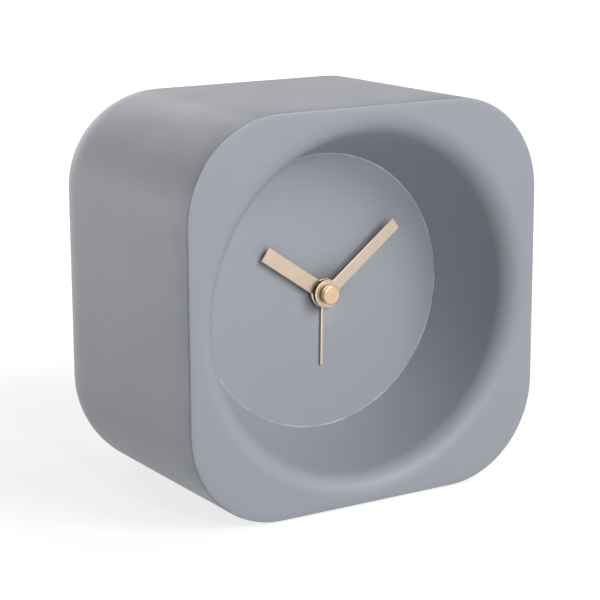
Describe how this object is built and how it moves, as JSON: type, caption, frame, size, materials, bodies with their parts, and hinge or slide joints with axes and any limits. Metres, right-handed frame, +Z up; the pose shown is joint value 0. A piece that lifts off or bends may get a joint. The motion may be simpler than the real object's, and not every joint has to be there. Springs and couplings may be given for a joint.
{
  "type": "table alarm clock",
  "caption": "Rounded-square grey table alarm clock with a deep funnel dial, baton hands and a quartz alarm movement; it stands on a desk, and is set from the back.",
  "frame": {"origin": "on the ground plane, under the middle of the case", "axes": "+Z up, +X to the right as seen from the front, +Y from the dial towards the back"},
  "size_m": [0.13, 0.102, 0.1286],
  "materials": {
    "case_grey": "soft matt lacquer",
    "dial_grey": "matt, very fine grain",
    "back_grey": "fine moulded grain",
    "control_black": "satin",
    "pad_black": "matt",
    "hand_champagne": "fine satin",
    "screw_steel": "bright zinc",
    "movement_black": "satin",
    "wheel_white": "natural nylon",
    "arbor_brass": "turned",
    "rotor_grey": "sintered magnet",
    "motor_iron": "stamped",
    "winding_copper": "enamelled wire",
    "board_green": "solder mask",
    "chip_black": "moulded",
    "crystal_can": "drawn can",
    "contact_nickel": "nickel plated",
    "cell_foil": "foil wrap",
    "wire_sleeve": "smooth"
  },
  "bodies": {
    "case": {"front_bezel": "case_grey", "dial_funnel": "case_grey", "case_body": "case_grey", "dial_plate": "dial_grey", "rear_cover": "back_grey", "rear_cover_screws": "screw_steel", "bezel_screws": "screw_steel", "base_pads": "pad_black", "movement_front_plate": "movement_black", "movement_bridge": "movement_black", "movement_rear_case": "movement_black", "movement_screws": "screw_steel", "bridge_screws": "screw_steel", "stator_plate": "motor_iron", "coil_core": "motor_iron", "coil_bobbin": "wheel_white", "coil_winding": "winding_copper", "movement_board": "board_green", "quartz_crystal": "crystal_can", "driver_chip": "chip_black", "alarm_contact_leaf": "contact_nickel", "alarm_switch_body": "control_black", "control_board": "board_green", "buzzer": "chip_black", "battery_cell": "cell_foil", "battery_plate_contact": "contact_nickel", "battery_spring_contact": "contact_nickel", "wire_harness": "wire_sleeve"},
    "minute": {"minute_arbor": "arbor_brass", "minute_hand": "hand_champagne"},
    "hour": {"hour_wheel": "wheel_white", "hour_hand": "hand_champagne"},
    "alarm": {"alarm_wheel": "wheel_white", "alarm_hand": "hand_champagne"},
    "seconds": {"seconds_wheel": "wheel_white", "hand_cap": "hand_champagne"},
    "motion": {"motion_wheel": "wheel_white"},
    "centre": {"centre_wheel": "wheel_white"},
    "third": {"third_wheel": "wheel_white"},
    "intermediate": {"intermediate_wheel": "wheel_white"},
    "rotor": {"rotor": "rotor_grey"},
    "time_set": {"time_set_stem": "wheel_white", "time_set_knob": "control_black"},
    "alarm_set": {"alarm_set_stem": "wheel_white", "alarm_set_knob": "control_black"},
    "alarm_switch": {"alarm_switch_slider": "control_black"},
    "battery_door": {"battery_door": "back_grey"}
  },
  "joints": [
    {"name": "minute_turn", "type": "hinge", "parent": "case", "child": "minute", "pos_m": [0, 0, 0.0646], "axis": [0, 1, 0], "continuous": true},
    {"name": "hour_turn", "type": "hinge", "parent": "case", "child": "hour", "pos_m": [0, 0, 0.0646], "axis": [0, 1, 0], "continuous": true},
    {"name": "alarm_turn", "type": "hinge", "parent": "case", "child": "alarm", "pos_m": [0, 0, 0.0646], "axis": [0, 1, 0], "continuous": true},
    {"name": "seconds_turn", "type": "hinge", "parent": "case", "child": "seconds", "pos_m": [0, 0, 0.0646], "axis": [0, 1, 0], "continuous": true},
    {"name": "centre_turn", "type": "hinge", "parent": "case", "child": "centre", "pos_m": [0, 0, 0.0646], "axis": [0, 1, 0], "continuous": true},
    {"name": "motion_turn", "type": "hinge", "parent": "case", "child": "motion", "pos_m": [-0.0075, 0, 0.0706], "axis": [0, 1, 0], "continuous": true},
    {"name": "third_turn", "type": "hinge", "parent": "case", "child": "third", "pos_m": [0, 0, 0.0502], "axis": [0, 1, 0], "continuous": true},
    {"name": "intermediate_turn", "type": "hinge", "parent": "case", "child": "intermediate", "pos_m": [0.0096, 0, 0.0646], "axis": [0, 1, 0], "continuous": true},
    {"name": "rotor_turn", "type": "hinge", "parent": "case", "child": "rotor", "pos_m": [0.01474, 0, 0.05726], "axis": [0, 1, 0], "continuous": true},
    {"name": "time_set_turn", "type": "hinge", "parent": "case", "child": "time_set", "pos_m": [-0.01499, 0, 0.07659], "axis": [0, 1, 0], "continuous": true},
    {"name": "alarm_set_turn", "type": "hinge", "parent": "case", "child": "alarm_set", "pos_m": [0.01499, 0, 0.07659], "axis": [0, 1, 0], "continuous": true},
    {"name": "alarm_switch_slide", "type": "slide", "parent": "case", "child": "alarm_switch", "axis": [1, 0, 0], "range_m": [0, 0.004]},
    {"name": "battery_door_pull", "type": "slide", "parent": "case", "child": "battery_door", "axis": [0, 1, 0], "range_m": [0, 0.012]}
  ],
  "couplings": [
    {"joint": "minute_turn", "follows": "time_set_turn", "ratio": 1},
    {"joint": "motion_turn", "follows": "time_set_turn", "ratio": -0.33333},
    {"joint": "hour_turn", "follows": "time_set_turn", "ratio": 0.083333},
    {"joint": "alarm_turn", "follows": "alarm_set_turn", "ratio": -0.5},
    {"joint": "intermediate_turn", "follows": "rotor_turn", "ratio": -0.16667},
    {"joint": "seconds_turn", "follows": "rotor_turn", "ratio": 0.033333},
    {"joint": "third_turn", "follows": "rotor_turn", "ratio": -0.0044444},
    {"joint": "centre_turn", "follows": "rotor_turn", "ratio": 0.00055556}
  ]
}
